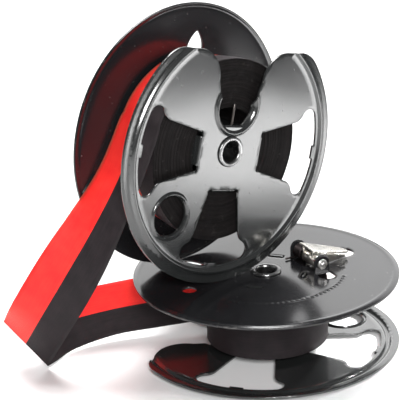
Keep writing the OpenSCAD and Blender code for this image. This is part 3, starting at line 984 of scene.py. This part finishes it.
# The ribbon lies on the upper winding from WRAP_FROM to LEAVE_DIR and meets the lower one at REACH_DIR.
WRAP_FROM = 84
LEAVE_DIR = 150
REACH_DIR = 110
INCOMING = [
    [(-28, -10.5, 42), (-8, 10, 1)],
    [(-33.5, -13.5, 32.5), (-9, 8, 3.5)],
    [(-39.5, -15, 23), (-10.5, 4, 6)],
    [(-45, -13, 13.5), (-10.5, 1, 7)],
    [(-49, -7, 5), (-8.5, 2.5, 9)]]
OUTGOING = [
    [(-42, -1, 6.5), (-3.5, 0.5, 12)],
    [(-32.5, 2.5, 7.5), (-1, -2, 12.5)],
    [(-23, 5, 8), (-0.5, -1.5, 12.5)],
    [(-13.5, 8, 8.2), (0, -0.5, 12.5)]]


def pair(middle, across):
    return np.array([middle, across], float)


def past(last, before):
    """The station that continues the way beyond its last one."""
    return np.array([2 * last[0] - before[0], last[1]])


def smooth(way, before, after, steps=22):
    """Stations along a Catmull-Rom curve through way."""
    way = [before] + way + [after]
    out = []
    for i in range(1, len(way) - 2):
        a, b, c, d = way[i - 1:i + 3]
        bend, twist = 2 * a - 5 * b + 4 * c - d, 3 * b - a - 3 * c + d
        for s in range(steps):
            t = s / steps
            out.append(0.5 * (2 * b + (c - a) * t + bend * t * t + twist * t ** 3))
    return out


def ribbon_way():
    """The ribbon's middle and across, from its lap on the upper winding, by the fold, to the lower one."""
    yaw = math.radians(UPPER_YAW)
    axis = np.array([-math.sin(yaw), math.cos(yaw), 0])
    side = np.array([math.cos(yaw), math.sin(yaw), 0])
    up = np.array([0, 0, 1.0])
    hub = np.array(UPPER_AT) + RIBBON_Z * axis
    sunk = 0.5 * PACK_TAPER["upper"]
    tilt = PACK_TAPER["upper"] / RIBBON_W

    def outward(degrees):
        a = math.radians(degrees)
        return math.cos(a) * side + math.sin(a) * up

    wrap = []
    skim = 0.06
    for degrees in np.arange(WRAP_FROM, LEAVE_DIR, 4):
        lift = skim + (SPAN_CLEAR - skim) * smoothstep((degrees - WRAP_FROM) / (LEAVE_DIR - WRAP_FROM))
        out = outward(degrees)
        wrap.append(pair(hub + (PACK_R["upper"] + lift - sunk) * out, axis - tilt * out))

    out = outward(LEAVE_DIR)
    leave = hub + (PACK_R["upper"] + SPAN_CLEAR) * out
    leave_t = outward(LEAVE_DIR + 90)
    reach = np.array([*polar(PACK_R["lower"] + SPAN_CLEAR, REACH_DIR), RIBBON_Z])
    reach_t = np.array([*polar(1, REACH_DIR - 90), 0])
    way_in = [pair(leave - sunk * out, axis - tilt * out)] + [pair(*s) for s in INCOMING]
    way_out = [pair(*INCOMING[-1])] + [pair(*s) for s in OUTGOING] + [pair(reach, up)]
    first = smooth(way_in, pair(leave - 10 * leave_t, axis), past(way_in[-1], way_in[-2]))
    second = smooth(way_out, past(way_out[0], way_out[1]), pair(reach + 10 * reach_t, up))
    return np.array(wrap + first + second + [way_out[-1]])


RIBBON_T = 0.1


def free_ribbon():
    """The strip and its length in metres. Its black half comes first across, then its red half."""
    way = ribbon_way()
    mid = way[:, 0]
    across = way[:, 1] / np.linalg.norm(way[:, 1], axis=1, keepdims=True)
    run = np.concatenate([[0], np.cumsum(np.linalg.norm(np.diff(mid, axis=0), axis=1))])
    step = np.gradient(mid, axis=0)
    normal = np.cross(step, across)
    normal /= np.linalg.norm(normal, axis=1, keepdims=True)
    columns = np.concatenate([np.linspace(-1, -0.04, 8), [0.0], np.linspace(0.04, 1, 8)])
    verts, faces, at, mats = [], [], [], []
    for i in range(len(way)):
        for c in columns:
            verts.append(mid[i] + across[i] * c * RIBBON_W / 2)
            at.append([run[i], c * RIBBON_W / 2, 0])
    n = len(columns)
    for i in range(len(way) - 1):
        for k in range(n - 1):
            faces.append([i * n + k, i * n + k + 1, (i + 1) * n + k + 1, (i + 1) * n + k])
            mats.append(0 if columns[k + 1] <= 0 else 1)
    obj = add_piece("free_ribbon", verts, faces, Matrix.Identity(4), [BLACK, RED], 80, {"ribbon_mm": at})
    obj.data.polygons.foreach_set("material_index", mats)
    thick = obj.modifiers.new("thickness", "SOLIDIFY")
    thick.thickness = RIBBON_T * MM
    thick.offset = 0
    thick.use_rim = True
    apply_modifiers(obj)
    return obj, run[-1] * MM


def apply_modifiers(obj):
    graph = bpy.context.evaluated_depsgraph_get()
    mesh = bpy.data.meshes.new_from_object(obj.evaluated_get(graph))
    obj.modifiers.clear()
    obj.data = mesh


# ---- Putting the pieces on their bodies ----

for spool in ("lower", "upper"):
    made = {
        "open_flange": open_flange(spool), "solid_flange": solid_flange(spool),
        "eyelet": eyelet(spool), "ribbon_hook": hook(spool),
        "trip_lever": lever(spool), "lever_pin": pin(spool),
        "lever_spring": spring(spool), "ribbon_pack": wound(spool)}
    for node, obj in made.items():
        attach(obj, f"{spool}_lever" if node == "trip_lever" else f"{spool}_spool")
        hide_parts(f"{spool}_{node}")
strip, strip_length = free_ribbon()
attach(strip, "lower_spool")
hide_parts("ribbon_span")


# ---- Floor, light and camera ----

# From here on in metres. The floor is white near the spools and painted grey further out, as painted shade
# where the light falls off; the change fades over this stretch of x.
FALLOFF_EDGE = (0.158, 0.170)
FLOOR_BASE_WHITE = (0.86, 0.86, 0.86)
PAINTED_SHADE_GREY = (0.16, 0.16, 0.165)


def floor():
    """The ground plane, which the front flange mirrors: white near the spools and painted grey further out,
    as painted shade where the light falls off.
    """
    mesh = bpy.data.meshes.new("floor")
    reach = 2.0
    corners = [(-reach, -reach, 0), (reach, -reach, 0), (reach, reach, 0), (-reach, reach, 0)]
    mesh.from_pydata(corners, [], [(0, 1, 2, 3)])
    mat, tree, shader = new_material("floor_painted_falloff")
    at = add(tree, "ShaderNodeSeparateXYZ")
    tree.links.new(object_coords(tree), at.inputs[0])
    # Painted shade: the floor's colour fades to grey over this stretch of x, standing in for the light
    # falling off.
    painted_falloff = ramp(tree, at.outputs["X"], *FALLOFF_EDGE)
    tree.links.new(mix_color(tree, painted_falloff, FLOOR_BASE_WHITE, PAINTED_SHADE_GREY), shader.inputs["Base Color"])
    shader.inputs["Roughness"].default_value = 0.32
    mesh.materials.append(mat)
    obj = bpy.data.objects.new("floor", mesh)
    bpy.context.scene.collection.objects.link(obj)


def put_light(data, at, aim):
    obj = bpy.data.objects.new(data.name, data)
    obj.location = at
    obj.rotation_euler = (Vector(aim) - Vector(at)).to_track_quat("-Z", "Y").to_euler()
    bpy.context.scene.collection.objects.link(obj)


def area_light(name, at, aim, size, power):
    data = bpy.data.lights.new(name, "AREA")
    data.shape = "RECTANGLE"
    data.size, data.size_y = size
    data.energy = power
    put_light(data, at, aim)


def spot_light(name, at, aim, cone, power, radius):
    data = bpy.data.lights.new(name, "SPOT")
    data.energy = power
    data.spot_size = math.radians(cone)
    data.spot_blend = 0.45
    data.shadow_soft_size = radius
    put_light(data, at, aim)


def world(strength):
    made = bpy.data.worlds.new("studio")
    made.use_nodes = True
    made.node_tree.nodes["Background"].inputs["Color"].default_value = (1, 1, 1, 1)
    made.node_tree.nodes["Background"].inputs["Strength"].default_value = strength
    bpy.context.scene.world = made


def camera():
    """In front of the spools and above them, with a slight roll, as in the photo."""
    target = Vector((-0.01285, 0, 0.0320))
    elevation, distance, roll = math.radians(21.3), 0.400, math.radians(-2.1)
    back = Vector((0, -math.cos(elevation), math.sin(elevation)))
    right, up = Vector((1, 0, 0)), Vector((0, math.sin(elevation), math.cos(elevation)))
    x = right * math.cos(roll) + up * math.sin(roll)
    y = -right * math.sin(roll) + up * math.cos(roll)
    data = bpy.data.cameras.new("camera")
    data.lens, data.sensor_width = 180, 36
    data.clip_start, data.clip_end = 0.01, 20
    obj = bpy.data.objects.new("camera", data)
    facing = Matrix((x, y, back)).transposed().to_4x4()
    obj.matrix_world = Matrix.Translation(target + back * distance) @ facing
    bpy.context.scene.collection.objects.link(obj)
    bpy.context.scene.camera = obj


floor()
world(0.12)
area_light("back_softbox", (0.05, 0.80, 0.36), aim=(0, 0, 0.03), size=(0.9, 0.5), power=2.7)
area_light("top_softbox", (-0.08, 0.14, 0.50), aim=(-0.08, 0.14, 0), size=(0.26, 0.26), power=4.2)
area_light("key_softbox", (0.06, -0.55, 0.32), aim=(-0.05, 0, 0.02), size=(0.22, 0.22), power=4.4)
# One spot lights the floor under the lower spool; the other makes the bright patch in the front flange.
spot_light("right_spot", (0.38, 0.10, 0.33), aim=(0.016, 0, 0), cone=5, power=26, radius=0.012)
spot_light("floor_pool", (0.119, -0.022, 0.5), aim=(0.119, -0.022, 0), cone=9.6, power=64, radius=0.01)
bpy.context.scene.view_settings.view_transform = "Standard"
camera()
